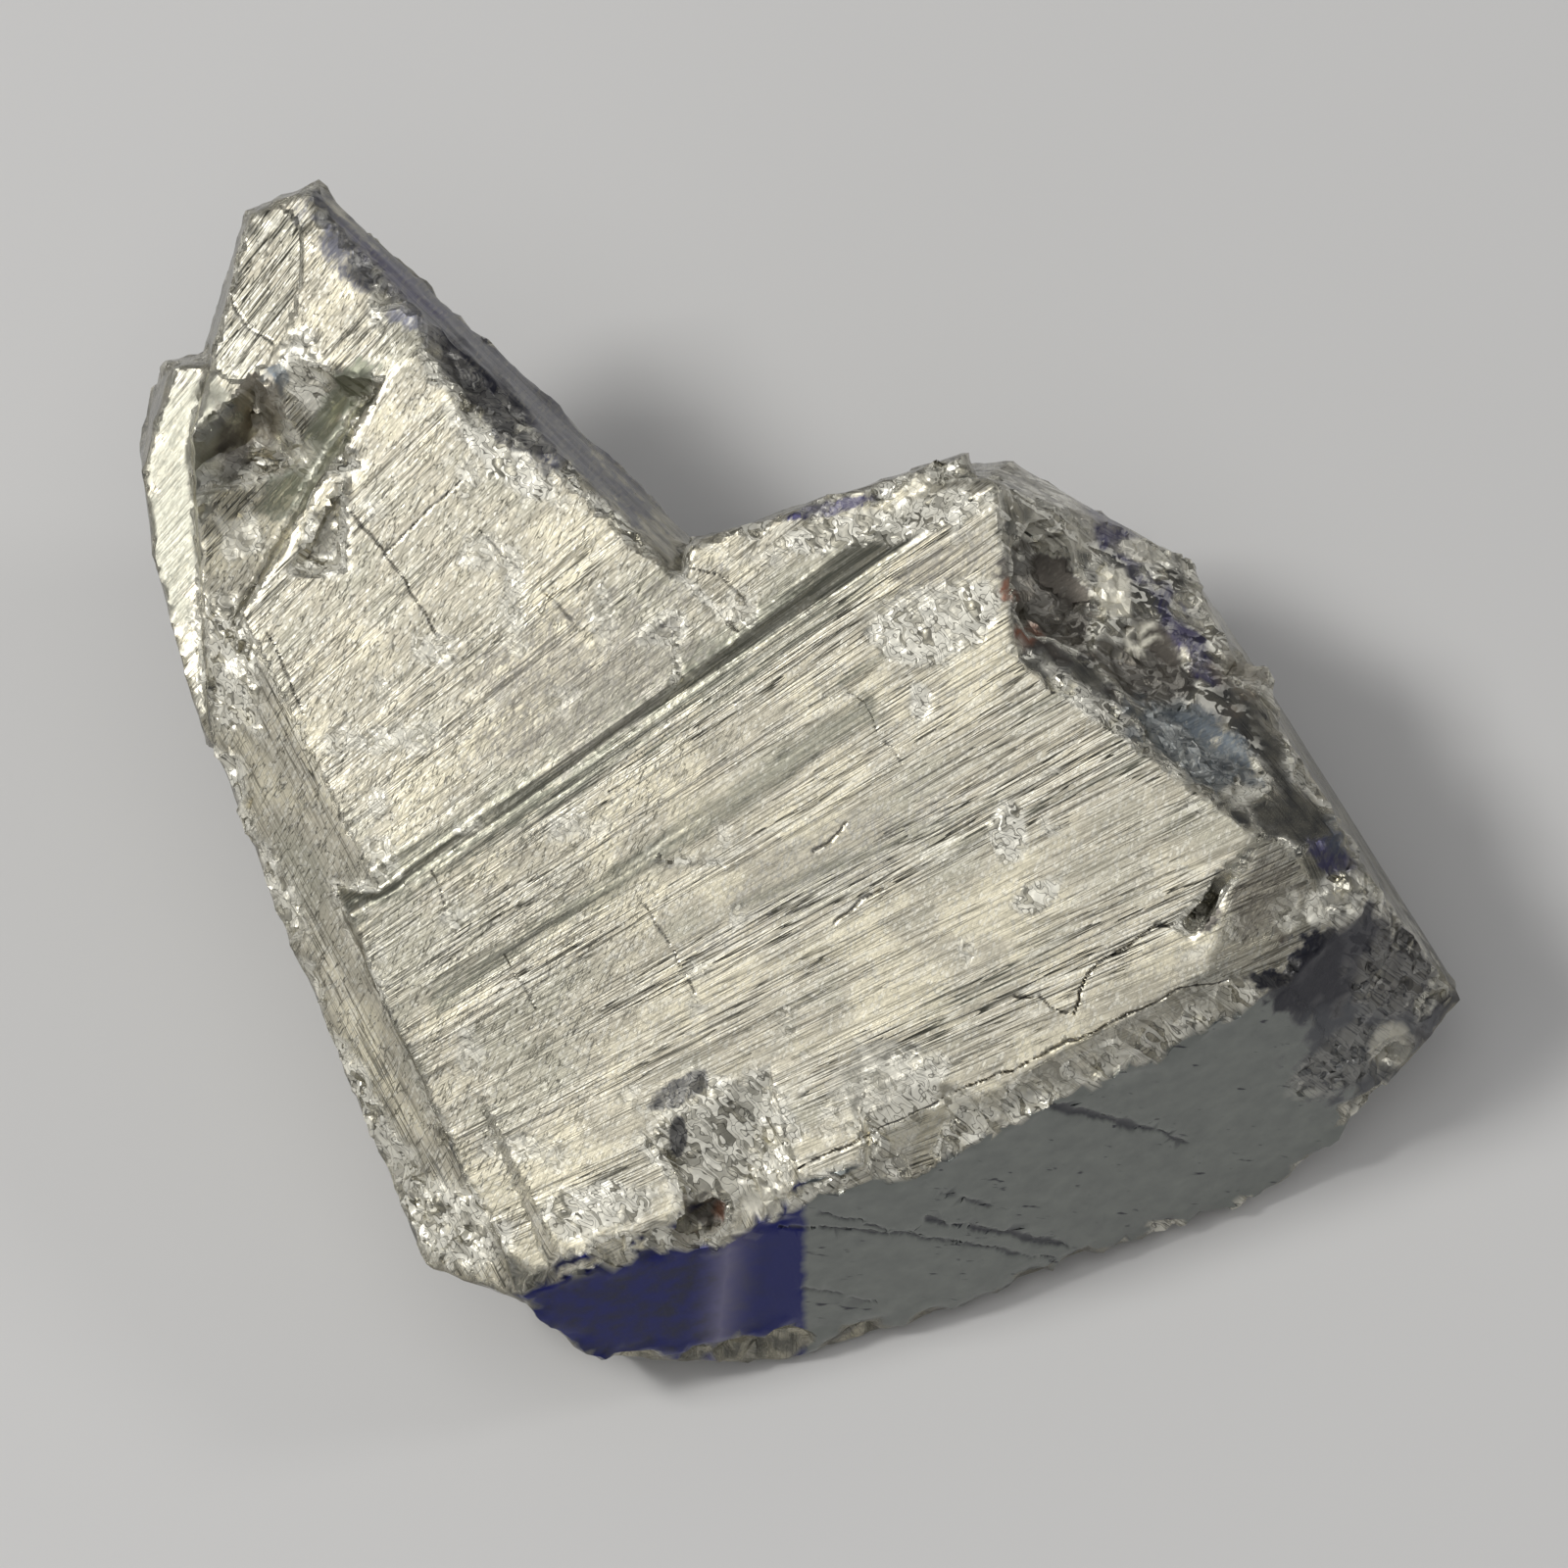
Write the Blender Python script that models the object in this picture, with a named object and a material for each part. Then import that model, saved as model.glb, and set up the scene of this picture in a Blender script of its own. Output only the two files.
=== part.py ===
"""A pyrite cluster: intergrown striated crystals, broken from their vein, lying on a flat back face.

Metres, +Z up. The origin is at the middle of the footprint, on the surface that the cluster rests on.
"""

import math
import random

import bmesh
import bpy
from mathutils import Euler, Matrix, Vector

MM = 0.001
NODE_NAME = "pyrite_cluster"

# The crystals are laid out in millimetres on the great striated face: x across it, y up it, h out of it.
LEAN_DEG = 20.0  # how far the great face leans from level when the cluster rests
REST_DEPTH = 23.5  # from the middle of the great face straight down to the resting face
BLANK_SIZE = 160.0  # cube that each crystal is cut from

# A crystal face is a point (x, y, h) on it, the compass direction that it faces (0 along x, 90 along y),
# and its slope from the great face, where 90 is square to it and more than 90 is undercut.
LEFT_CRYSTAL = {
    "great face": (-15.0, 0.0, 0.0, 160, 2.5),
    "tooth": (-24.0, 18.5, -0.6, 125, 20),
    "strip": (-11.0, 16.1, 0.0, 46.6, 74),
    "strip back": (-10.0, 18.0, -7.0, 46.6, 124),
    "tip": (-28.5, 25.7, -4.0, 165, 82),
    "tip end": (-26.3, 30.1, -5.5, 112, 80),
    "flank": (-23.5, 0.0, -0.4, 203, 28),
    "left side": (-29.6, 5.0, -3.0, 184, 86),
    "left wall": (-28.0, -1.85, -2.9, 202.3, 98),
    "left back": (-28.2, 0.0, -11.0, 200, 117),
    "corner": (-15.5, -25.4, 0.0, 249, 84),
    "corner back": (-15.5, -25.9, -6.0, 249, 114),
    "bottom face": (-9.0, -23.7, 0.4, -73, 58),
    "bottom back": (-5.0, -28.6, -9.0, -73, 114),
    "broken back": (-22.0, 15.0, -20.0, 112, 142),
    "inner side": (4.0, 0.0, 0.0, 0, 90),
}
RIGHT_CRYSTAL = {
    "great face": (-20.0, -8.0, 0.2, 210.6, 2.5),
    "growth step": (-10.75, 0.75, 0.75, 127, 38),
    "top end": (9.0, 16.3, -6.0, 93, 84),
    "shoulder": (16.8, 14.0, -9.0, 60.4, 80),
    "shoulder back": (16.8, 14.0, -9.5, 60.4, 112),
    "right wall": (26.2, 3.7, -13.0, 32, 84),
    "right back": (25.8, 3.5, -17.0, 32, 114),
    "cream face": (22.5, -6.0, 1.86, -25, 13),
    "glitter": (27.5, -5.0, 0.6, 12, 34),
    "right end": (30.0, -5.25, 0.2, -39.5, 58),
    "end back": (30.7, -16.7, -13.5, -39.5, 112),
    "rim": (8.0, -16.6, 1.3, -66, 28),
    "bottom face": (12.0, -16.4, 1.25, -64, 58),
    "lower bottom face": (8.0, -18.6, 1.2, -73, 58),
    "bottom back": (14.0, -27.0, -15.5, -64, 114),
    "lower back": (4.0, -29.2, -13.0, -73, 114),
    "low corner": (-5.5, -30.1, -10.0, 266, 92),
    "low corner back": (-5.5, -30.0, -13.0, 266, 114),
    "inner corner": (-11.5, -28.2, -8.0, 228.5, 94),
    "inner side": (-17.0, -18.4, 0.0, 205, 90),
    "top back": (8.0, 16.5, -12.0, 95, 116),
    "notch wall": (1.0, 14.1, -6.0, 108, 90),
    "notch back": (1.0, 14.1, -11.0, 108, 120),
}
SHELF_CRYSTAL = {
    "shelf": (-2.0, 11.0, 0.2, 110, 3),
    "top wall": (1.0, 14.3, -3.0, 108, 88),
    "top back": (1.0, 14.4, -10.0, 108, 122),
    "left end": (-6.0, 0.0, 0.0, 175, 95),
    "right end": (9.5, 0.0, 0.0, 0, 90),
    "bottom": (0.0, -4.0, 0.0, -90, 90),
}
LEFT_BLOCK = {
    "face": (-30.0, 17.0, -4.2, 165, 9),
    "top": (-30.4, 21.9, -6.0, 100, 82),
    "upper left": (-32.4, 19.4, -6.0, 164, 80),
    "left": (-33.0, 15.0, -6.0, 187, 86),
    "left back": (-32.0, 15.0, -12.0, 188, 122),
    "lower left": (-29.9, 2.6, -6.0, 196, 92),
    "top back": (-30.0, 20.5, -13.0, 110, 122),
    "right": (-20.0, 15.0, -6.0, 0, 90),
    "bottom": (-27.0, 2.0, -6.0, -90, 90),
}

# Small cubes grown from the back and the sides, under the great face's edge: place, size and turn.
SMALL_CUBES = (
    ((-17.0, 13.0, -15.0), 10.0, (24, 12, 35)),
    ((-23.5, 4.0, -13.5), 8.5, (10, 28, 15)),
    ((-13.0, -17.0, -15.0), 10.0, (18, -22, 40)),
    ((3.5, -19.0, -18.5), 12.0, (-14, 20, 12)),
    ((20.0, -3.0, -20.0), 12.0, (28, 8, -20)),
    ((6.5, 7.5, -20.0), 12.0, (16, -30, 10)),
    ((-5.0, 1.5, -24.0), 11.0, (-20, 14, 48)),
    ((22.1, 3.7, -5.6), 4.9, (24, 38, 12)),
    ((17.6, 9.6, -5.4), 5.6, (38, -24, 30)),
)

# A hollow is cut with the crystal that once filled it: its faces look down into the stone.
BEVEL = {
    "floor": (11.0, 7.0, 1.7, 234.7, 138),
    "wall": (11.4, 11.0, 1.8, 186, 128),
}
TRENCH = {
    "blade wall": (-23.3, 16.0, -0.5, -31.6, 102),
    "floor": (-25.2, 17.0, -2.6, 148.4, 160),
    "head": (-20.8, 20.8, -0.5, 70, 118),
    "foot": (-26.5, 11.0, -2.2, 238, 165),
    "left wall": (-28.2, 16.5, -2.0, 150, 115),
}
CORNER_HOLLOW = {
    "upper right": (-26.3, 19.9, -2.0, 40, 128),
    "upper left": (-28.3, 19.2, -2.2, 140, 134),
    "floor": (-27.4, 17.8, -4.1, 262, 152),
    "lower wall": (-27.9, 15.6, -3.0, 285, 110),
}
PIT = {
    "left": (-23.9, 13.0, -1.0, 150, 100),
    "right": (-22.6, 12.8, -1.0, -2, 105),
    "bottom": (-23.6, 11.1, -1.0, -88, 110),
    "floor": (-23.3, 12.6, -1.5, 60, 165),
}
EDGE_NOTCH = {
    "left wall": (-5.9, -18.6, 0.4, 200, 112),
    "top wall": (-3.4, -15.2, 0.7, 120, 132),
    "right wall": (0.2, -18.0, 0.9, 14, 152),
    "floor": (-3.0, -18.6, 0.0, 112, 165),
}
EDGE_CHIP = {
    "left wall": (4.1, -16.5, 1.0, 184, 145),
    "top wall": (5.4, -13.9, 1.0, 60, 162),
    "floor": (7.0, -17.0, 0.4, 116, 158),
}
CRACK = {
    "left wall": (21.15, -5.95, 0.0, 136, 91),
    "right wall": (21.7, -6.2, 0.0, 322, 92),
    "upper end": (24.3, -2.3, 1.0, 50, 135),
    "lower end": (20.9, -7.2, 1.0, 240, 125),
}

# Shell-shaped scoops where the edges broke away: middle, half sizes, and turn in degrees.
SCOOPS = (
    ((14.1, 10.1, -0.6), (3.2, 3.9, 2.6), (0, 42, 55)),
    ((19.3, 6.9, -0.7), (3.5, 3.6, 2.6), (0, 42, 55)),
    ((21.8, 2.4, 1.2), (2.8, 5.2, 2.3), (0, 42, 55)),
    ((-14.9, 21.2, 0.4), (5.2, 2.3, 2.8), (0, 0, -43)),
    ((32.6, -11.6, -1.4), (3.4, 3.0, 4.0), (0, 0, 50)),
    ((28.4, -15.6, -3.6), (3.6, 2.0, 3.0), (0, 0, -150)),
    ((-4.1, -22.4, -0.4), (1.7, 1.2, 1.5), (0, 0, 35)),
)

# Ragged edges: a line (x, y, h) just outside the edge, the step between its chips, and the largest chip.
RAGGED_EDGES = {
    "strip": (((-24.5, 31.5, 1.0), (-18.0, 25.0, 1.5), (-5.0, 12.5, 1.5)), 2.0, 2.0),
    "rim": (((-17.5, -26.0, 2.5), (-9.0, -25.4, 2.5), (4.0, -21.0, 2.5), (27.0, -10.6, 2.5)), 2.0, 2.0),
    "left wall": (((-31.0, 1.5, -1.5), (-27.0, -8.5, -1.5), (-20.0, -23.0, -1.5)), 2.4, 2.2),
    "right end": (((32.5, -5.0, 0.0), (37.0, -11.4, -8.0), (30.0, -19.6, -13.0)), 2.2, 2.4),
    "right wall": (((15.5, 16.5, 0.0), (20.0, 13.5, -2.0), (27.0, 5.5, -3.0), (32.0, -3.5, -1.0)), 2.2, 2.2),
    "bottom": (((-12.0, -30.0, -8.0), (4.0, -31.4, -11.5), (26.0, -23.6, -15.0)), 2.8, 2.4),
    "top": (((-4.0, 14.5, 1.5), (3.0, 16.5, 1.5), (11.0, 18.0, 1.5)), 2.2, 1.8),
}
CHIP_SEED = 7
CHIP_SMALLEST = 0.5  # of the largest chip
CHIP_DEPTH = 0.35  # of the chip's own radius
CHIP_ROUNDNESS = 1  # subdivisions of the icosahedron that cuts a chip


def outward(direction_deg, slope_deg):
    """The outward normal of a face that looks that way."""
    direction, slope = math.radians(direction_deg), math.radians(slope_deg)
    level = math.sin(slope)
    return Vector((level * math.cos(direction), level * math.sin(direction), math.cos(slope)))


def clip(shape, point, normal):
    """Cuts away what lies in front of a plane, and caps the cut."""
    cut = bmesh.ops.bisect_plane(
        shape,
        geom=[*shape.verts, *shape.edges, *shape.faces],
        plane_co=point,
        plane_no=normal,
        clear_outer=True,
    )
    rim = [part for part in cut["geom_cut"] if isinstance(part, bmesh.types.BMEdge)]
    bmesh.ops.contextual_create(shape, geom=rim)


def crystal(faces):
    """A crystal cut from a cube, one plane for each of its faces."""
    shape = bmesh.new()
    bmesh.ops.create_cube(shape, size=BLANK_SIZE)
    for x, y, h, direction_deg, slope_deg in faces.values():
        clip(shape, (x, y, h), outward(direction_deg, slope_deg))
    bmesh.ops.recalc_face_normals(shape, faces=shape.faces)
    return placed(shape)


def turned(middle, turn_deg):
    """The place of a shape that is turned about its middle."""
    turn = Euler([math.radians(angle) for angle in turn_deg])
    return Matrix.Translation(middle) @ turn.to_matrix().to_4x4()


def cube(middle, size, turn_deg):
    shape = bmesh.new()
    bmesh.ops.create_cube(shape, size=size, matrix=turned(middle, turn_deg))
    return placed(shape)


def shell(middle, half_sizes, turn_deg, roundness=3):
    """A faceted ellipsoid, which cuts a shell-shaped scoop."""
    shape = bmesh.new()
    form = turned(middle, turn_deg) @ Matrix.Diagonal((*half_sizes, 1.0))
    bmesh.ops.create_icosphere(shape, subdivisions=roundness, radius=1.0, matrix=form)
    return placed(shape)


def placed(shape):
    """The bmesh as an object of the scene."""
    mesh = bpy.data.meshes.new(NODE_NAME)
    shape.to_mesh(mesh)
    shape.free()
    thing = bpy.data.objects.new(NODE_NAME, mesh)
    bpy.context.scene.collection.objects.link(thing)
    return thing


def combine(stone, other, operation):
    """Joins the other shape to the stone, or cuts it from the stone."""
    boolean = stone.modifiers.new(operation, "BOOLEAN")
    boolean.operation = operation
    boolean.solver = "EXACT"
    boolean.object = other
    with bpy.context.temp_override(object=stone, active_object=stone):
        bpy.ops.object.modifier_apply(modifier=boolean.name)
    bpy.data.objects.remove(other)


def chip_places(line, step, rng):
    """Places along a line, about a step apart."""
    for start, end in zip(line, line[1:]):
        start, end = Vector(start), Vector(end)
        count = max(1, round((end - start).length / step))
        for number in range(count):
            yield start.lerp(end, (number + rng.uniform(0.1, 0.9)) / count)


def chip_edges(stone):
    """Breaks the ragged edges with small shell-shaped chips, each where the stone is nearest its place."""
    rng = random.Random(CHIP_SEED)
    for line, step, largest in RAGGED_EDGES.values():
        for place in chip_places(line, step, rng):
            edge = stone.closest_point_on_mesh(place)[1]
            radius = largest * rng.uniform(CHIP_SMALLEST, 1.0)
            middle = edge + (place - edge).normalized() * radius * (1 - CHIP_DEPTH)
            half_sizes = [radius * rng.uniform(0.8, 1.4) for _ in range(3)]
            turn_deg = (0, 0, rng.uniform(0, 180))
            combine(stone, shell(middle, half_sizes, turn_deg, CHIP_ROUNDNESS), "DIFFERENCE")


def grow():
    """The whole stone in millimetres, on the great face's axes."""
    stone = crystal(LEFT_CRYSTAL)
    for faces in (RIGHT_CRYSTAL, SHELF_CRYSTAL, LEFT_BLOCK):
        combine(stone, crystal(faces), "UNION")
    for small_cube in SMALL_CUBES:
        combine(stone, cube(*small_cube), "UNION")
    for faces in (BEVEL, TRENCH, CORNER_HOLLOW, PIT, EDGE_NOTCH, EDGE_CHIP, CRACK):
        combine(stone, crystal(faces), "DIFFERENCE")
    for scoop in SCOOPS:
        combine(stone, shell(*scoop), "DIFFERENCE")
    chip_edges(stone)
    return stone


def lay_down(stone):
    """Leans the stone as it rests, cuts its resting face, and stands it on the origin at its real size."""
    shape = bmesh.new()
    shape.from_mesh(stone.data)
    lean = Matrix.Rotation(math.radians(LEAN_DEG), 4, "X")
    bmesh.ops.transform(shape, matrix=lean, verts=shape.verts)
    clip(shape, (0, 0, -REST_DEPTH), (0, 0, -1))
    xs = [vert.co.x for vert in shape.verts]
    ys = [vert.co.y for vert in shape.verts]
    middle = Vector(((min(xs) + max(xs)) / 2, (min(ys) + max(ys)) / 2, -REST_DEPTH))
    bmesh.ops.translate(shape, vec=-middle, verts=shape.verts)
    bmesh.ops.scale(shape, vec=(MM, MM, MM), verts=shape.verts)
    shape.to_mesh(stone.data)
    shape.free()


def pyrite():
    material = bpy.data.materials.new("pyrite")
    material.use_nodes = True
    shader = material.node_tree.nodes["Principled BSDF"]
    shader.inputs["Base Color"].default_value = (0.50, 0.46, 0.36, 1.0)
    shader.inputs["Metallic"].default_value = 1.0
    shader.inputs["Roughness"].default_value = 0.42
    return material


def clear_scene():
    for thing in list(bpy.data.objects):
        bpy.data.objects.remove(thing)


clear_scene()
cluster = grow()
lay_down(cluster)
cluster.data.materials.append(pyrite())
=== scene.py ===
"""The looks of a pyrite cluster: one stone of intergrown striated crystals, on a pale studio floor."""

import math

import bpy
import numpy as np
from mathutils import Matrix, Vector, kdtree
from mathutils.bvhtree import BVHTree


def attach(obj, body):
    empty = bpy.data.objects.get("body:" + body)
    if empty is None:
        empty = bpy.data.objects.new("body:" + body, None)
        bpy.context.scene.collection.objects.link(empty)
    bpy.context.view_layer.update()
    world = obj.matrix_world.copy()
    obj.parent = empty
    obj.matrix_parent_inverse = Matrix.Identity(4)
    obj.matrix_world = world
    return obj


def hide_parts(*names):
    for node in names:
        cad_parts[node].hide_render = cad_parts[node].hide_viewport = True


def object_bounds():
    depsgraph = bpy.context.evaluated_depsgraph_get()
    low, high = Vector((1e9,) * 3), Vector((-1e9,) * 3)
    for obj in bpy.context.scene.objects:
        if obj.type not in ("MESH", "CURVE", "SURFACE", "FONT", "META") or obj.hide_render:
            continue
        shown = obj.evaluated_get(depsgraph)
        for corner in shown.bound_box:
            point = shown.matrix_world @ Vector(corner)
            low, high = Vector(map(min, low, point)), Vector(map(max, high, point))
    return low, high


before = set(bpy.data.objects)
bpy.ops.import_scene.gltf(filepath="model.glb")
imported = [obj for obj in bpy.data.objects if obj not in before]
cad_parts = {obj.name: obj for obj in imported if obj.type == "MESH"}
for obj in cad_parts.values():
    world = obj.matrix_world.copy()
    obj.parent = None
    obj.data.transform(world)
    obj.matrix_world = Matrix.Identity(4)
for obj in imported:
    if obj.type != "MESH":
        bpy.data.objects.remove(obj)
cad_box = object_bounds()
bpy.ops.object.select_all(action="DESELECT")

# ---- The stone's form ---------------------------------------------------------------------------------
# One piece of pyrite: two large crystals and many small ones that grew into each other in a vein and broke
# out of it together. It was never cut or polished: its rims are chipped, and its back is a bare break.

MM = 0.001
LEAN = math.radians(20)  # how far the great striated face leans towards the front
OUTWARD = (0.0, -math.sin(LEAN), math.cos(LEAN))  # the way that face looks
GREAT_FACE_MIDDLE = np.array([-0.959, -3.251, 23.5])  # in millimetres
FINE = 0.25 * MM  # the size of the fine surface's mesh
STONE_TRIANGLES = 168_000  # before the cracks are cut
SLIVER = 0.02  # in millimetres: facets narrower than this are not looked at
GREAT_SLOPE = 21  # facets that slope less than this belong to the great faces, in degrees
SHARP = math.radians(30)  # facets that meet at more than this have a sharp edge between them
EDGE_STEP = 0.25  # between the marks along an edge, in millimetres

# The stone's main facets: the compass way each looks on the great face, and its slope from it, in degrees.
GROWTH_STEP = (127, 38)
LOWER_RIM = (-66, 28)
FLANK = (203, 28)
BOTTOM = (-64, 58)
LOWER_BOTTOM = (-73, 58)
RIGHT_END = (-39.5, 58)
BEVEL = (54.7, 42)

stone = bpy.data.objects.new("pyrite_stone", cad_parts["pyrite_cluster"].data.copy())
bpy.context.scene.collection.objects.link(stone)
bpy.context.view_layer.objects.active = stone
stone.select_set(True)
bpy.ops.object.mode_set(mode="EDIT")
bpy.ops.mesh.select_all(action="SELECT")
bpy.ops.mesh.remove_doubles(threshold=1e-6)
bpy.ops.object.mode_set(mode="OBJECT")


def read(mesh, what):
    """A vector of each vertex, as an array."""
    values = np.empty(len(mesh.vertices) * 3, np.float32)
    mesh.vertices.foreach_get(what, values)
    return values.reshape(-1, 3).astype(float)


def turn(vectors, angle):
    """The vectors turned about x."""
    x, y, z = vectors.T
    across, up = math.cos(angle), math.sin(angle)
    return np.stack([x, y * across - z * up, y * up + z * across], 1)


def on_face(mesh):
    """The vertices in millimetres on the great face: x across it, y up it and h out of it."""
    return turn(read(mesh, "co") / MM - GREAT_FACE_MIDDLE, -LEAN)


# The flat facets of the plain form tell what each patch of the fine surface is. Facets within about a
# degree and a quarter of a millimetre of each other count as one plane.
plain = on_face(stone.data)
corners = np.array([face.vertices[:] for face in stone.data.polygons])
side_runs = plain[np.roll(corners, -1, axis=1)] - plain[corners]
cross = np.cross(side_runs[:, 0], side_runs[:, 1])
facet_area = np.linalg.norm(cross, axis=1) / 2
wide_enough = facet_area > SLIVER * np.linalg.norm(side_runs, axis=2).max(1)
corners, cross, facet_area = corners[wide_enough], cross[wide_enough], facet_area[wide_enough]
facet_normal = cross / np.maximum(facet_area[:, None] * 2, 1e-9)
facet_offset = (facet_normal * plain[corners[:, 0]]).sum(1)
rounded = np.round(np.column_stack([facet_normal * 40, facet_offset * 4]))
plane = np.unique(rounded, axis=0, return_inverse=True)[1].ravel()
plane_area = np.bincount(plane, weights=facet_area)[plane]


def facing(normal, way, within=9):
    """Whether a facet looks a way, to within some degrees: 1 or 0."""
    direction, slope = np.radians(way)
    level = math.sin(slope)
    wanted = [level * math.cos(direction), level * math.sin(direction), math.cos(slope)]
    return (normal @ wanted > math.cos(math.radians(within))).astype(float)


on_top = facet_normal[:, 2] > math.cos(math.radians(GREAT_SLOPE))
on_top |= (facing(facet_normal, GROWTH_STEP, 5) > 0) | (facing(facet_normal, LOWER_RIM, 8) > 0)
facets = BVHTree.FromPolygons([Vector(place) for place in plain], corners.tolist())

# Marks along the sharp edges, to tell how far each vertex is from one.
edge_faces = {}
for number, (a, b, c) in enumerate(corners.tolist()):
    for side in ((a, b), (b, c), (c, a)):
        edge_faces.setdefault(tuple(sorted(side)), []).append(number)
edge_places = []
for (first, last), sharing in edge_faces.items():
    one, other = sharing[0], sharing[-1]
    sharp = facet_normal[one] @ facet_normal[other] < math.cos(SHARP)
    if sharp and not (on_top[one] and on_top[other]):
        length = np.linalg.norm(plain[last] - plain[first])
        for part in np.linspace(0, 1, 2 + int(length / EDGE_STEP)):
            edge_places.append(plain[first] * (1 - part) + plain[last] * part)
edges = kdtree.KDTree(len(edge_places))
for number, place in enumerate(edge_places):
    edges.insert(place, number)
edges.balance()

remesh = stone.modifiers.new("fine surface", "REMESH")
remesh.mode = "VOXEL"
remesh.voxel_size = FINE
bpy.ops.object.modifier_apply(modifier=remesh.name)

# ---- The stone's growth lines, chips and breaks -------------------------------------------------------
# Pyrite grows in steps, which leave fine parallel lines along the great faces and across the sides. Where
# the stone was knocked or torn off, it broke into little shells and blocks. All of it is cut into the same
# stone. Lengths and heights are in millimetres.

FAN_CENTRE = (-100.0, -62.0)  # where the growth lines of the great faces would meet
FAN_REACH = 118.0  # from there to the middle of the great face
GRAIN = math.radians(29)  # direction of the growth lines, from x
TOOTH = (-27.2, 25.2, 2.3, 4.8, -15)  # the tip of the upper crystal, whose lines run another way
TOOTH_GRAIN = math.radians(53)
BREAK_AREA = 14.0  # square mm: flat facets smaller than this are breaks
CLEAN_RIM = (23.4, 24.8)  # how far below the great face's middle the rim turns from chipped to clean
LOWEST_CRACK = -17  # the cracks end at this height
AROUND_CRACKS = 0.28  # how far the finer mesh reaches from a crack
CREASE_ANGLE = math.radians(32)  # sharper creases than this stay crisp

# How high each kind of relief in the skin is, and how far the edges and cracks stray sideways.
COARSE_STEP = 0.004
FINE_STEP = 0.0025
SIDE_STEPS = 7.0  # how many times higher the steps are on the sides
SUNK = 0.02  # lowers the skin, so that its highest steps lie level with the plain form
WAVE = 0.012
SIDE_WAVE = 0.03
BLOCK_HEIGHT = 0.24
CHIP_HEIGHT = 0.20
BREAK_CREASE = 0.22
PATCH_CREASE = 0.10
SIDE_CREASE = 0.16
BAND_STREAK = 0.06
WORN_OFF = 0.10
HOLLOW = 0.06
RAGGED_EDGE = 0.32
CROOKED_CRACK = 0.22

# The sizes of the blocks and chips along the breaks.
BLOCK_SIZE = 0.95
CHIP_SIZE = 0.42

# Crumbled patches: middle (x, y), half sizes, turn in degrees.
CRUMBLED = {
    "edge notch": (-3.0, -18.2, 3.9, 3.6, 0),
    "edge chip": (5.6, -15.6, 2.7, 1.9, 30),
    "upper patch": (7.6, 8.2, 3.6, 1.9, 15),
    "black pits": (-6.1, 7.9, 1.4, 0.9, 20),
    "pit": (12.8, -5.7, 1.5, 0.8, 35),
    "flakes": (11.4, -2.4, 1.0, 1.7, 0),
    "slot": (6.9, 4.2, 0.5, 1.0, 0),
    "tooth": (-24.6, 21.2, 1.2, 2.2, 20),
    "blade hole": (-23.5, 12.3, 1.0, 1.7, 0),
    "trench crumbs": (-24.6, 16.8, 1.2, 1.0, 20),
    "trench foot": (-27.8, 12.6, 1.2, 1.3, 0),
    "left rim": (-28.6, 6.4, 1.7, 4.2, 12),
    "lower left corner": (-17.0, -22.6, 3.4, 2.0, -30),
    "flank chips": (-22.0, -15.0, 0.8, 1.5, 20),
    "low rim": (-9.5, -21.6, 3.2, 1.2, 15),
    "strip side": (-14.5, 17.0, 3.6, 1.2, -45),
    "right corner": (31.5, -10.0, 2.2, 2.6, 0),
    "glitter ridge": (28.4, -5.6, 2.4, 1.1, 30),
    "fracture wedge": (29.3, -14.2, 3.2, 1.5, 32),
    "bowl island": (16.8, 10.0, 1.0, 1.6, 15),
    "block on the shoulder": (18.8, 11.9, 1.7, 0.9, -10),
    "top edge": (5.5, 13.4, 5.5, 1.0, 12),
    "bevel fringe": (17.4, 3.0, 7.6, 0.7, -35),
}

# Growth bands, where many small steps lie close together: a line, half its width, and how dark it is. The
# first runs over the growth step's rounded edge, where its darkness is also painted shade.
BANDS = (
    (((-22.8, -6.4), (-12.6, -0.7), (-4.3, 5.6), (5.4, 12.8)), 1.05, 0.9),
    (((-17.5, -11.0), (-10.0, -5.8), (-3.0, -1.2), (4.4, 4.0)), 0.60, 0.8),
    (((3.5, 10.2), (-3.0, 5.0)), 0.25, 0.6),
    (((5.0, 10.6), (-2.0, 5.2), (-7.0, 1.6)), 0.20, 0.7),
    (((2.8, 5.1), (5.8, 7.0)), 0.14, 0.9),
    (((-2.3, -6.2), (10.8, -0.9)), 0.18, 0.6),
    (((7.8, -11.8), (13.6, -8.1)), 0.8, 0.35),
    (((12.0, 3.6), (18.5, 6.4)), 0.15, 0.6),
    (((9.0, -3.0), (21.0, 2.6)), 0.15, 0.5),
)

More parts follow.
